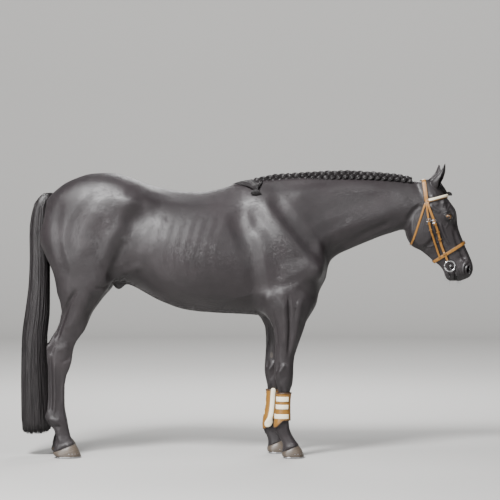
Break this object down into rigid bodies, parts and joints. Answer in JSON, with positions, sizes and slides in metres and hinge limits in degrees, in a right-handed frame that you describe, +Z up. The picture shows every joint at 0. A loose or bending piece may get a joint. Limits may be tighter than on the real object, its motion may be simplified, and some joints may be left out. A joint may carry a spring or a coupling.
{
  "type": "standing horse, life-size model",
  "caption": "Life-size still model of a black riding horse, standing square with a bridle, a braided mane, leather leg boots and shod hooves.",
  "frame": {"origin": "middle of the floor under the horse", "axes": "+X towards the nose, +Y towards the left side, +Z up"},
  "size_m": [2.7612, 0.6068, 1.7762],
  "materials": {
    "coat": "short glossy charcoal-black hair lying flat",
    "hair": "long black tail and mane hair, soft sheen",
    "eye": "wet dark brown eye",
    "horn": "brown-grey hoof horn with fine rings",
    "steel": "worn bright steel",
    "leather": "oiled tan-brown leather with dark edges",
    "cream": "cream leather and braid"
  },
  "bodies": {
    "root": {"bit_ring_left": "steel", "bit_ring_right": "steel", "boot_left": "leather", "boot_pad_left": "cream", "boot_pad_right": "cream", "boot_right": "leather", "boot_strap_left_1": "cream", "boot_strap_left_2": "cream", "boot_strap_left_3": "cream", "boot_strap_right_1": "cream", "boot_strap_right_2": "cream", "boot_strap_right_3": "cream", "browband": "leather", "cheekpiece_left": "leather", "cheekpiece_right": "leather", "crownpiece": "leather", "ear_left": "coat", "ear_right": "coat", "eye_left": "eye", "eye_right": "eye", "foreleg_left": "coat", "foreleg_right": "coat", "forelock": "hair", "head": "coat", "hindleg_left": "coat", "hindleg_right": "coat", "hoof_fore_left": "horn", "hoof_fore_right": "horn", "hoof_hind_left": "horn", "hoof_hind_right": "horn", "mane_braid": "hair", "mane_lock": "hair", "neck": "coat", "noseband": "leather", "noseband_hanger_left": "leather", "noseband_hanger_right": "leather", "shoe_fore_left": "steel", "shoe_fore_right": "steel", "shoe_hind_left": "steel", "shoe_hind_right": "steel", "tail": "hair", "throatlatch": "leather", "trunk": "coat"}
  },
  "joints": []
}
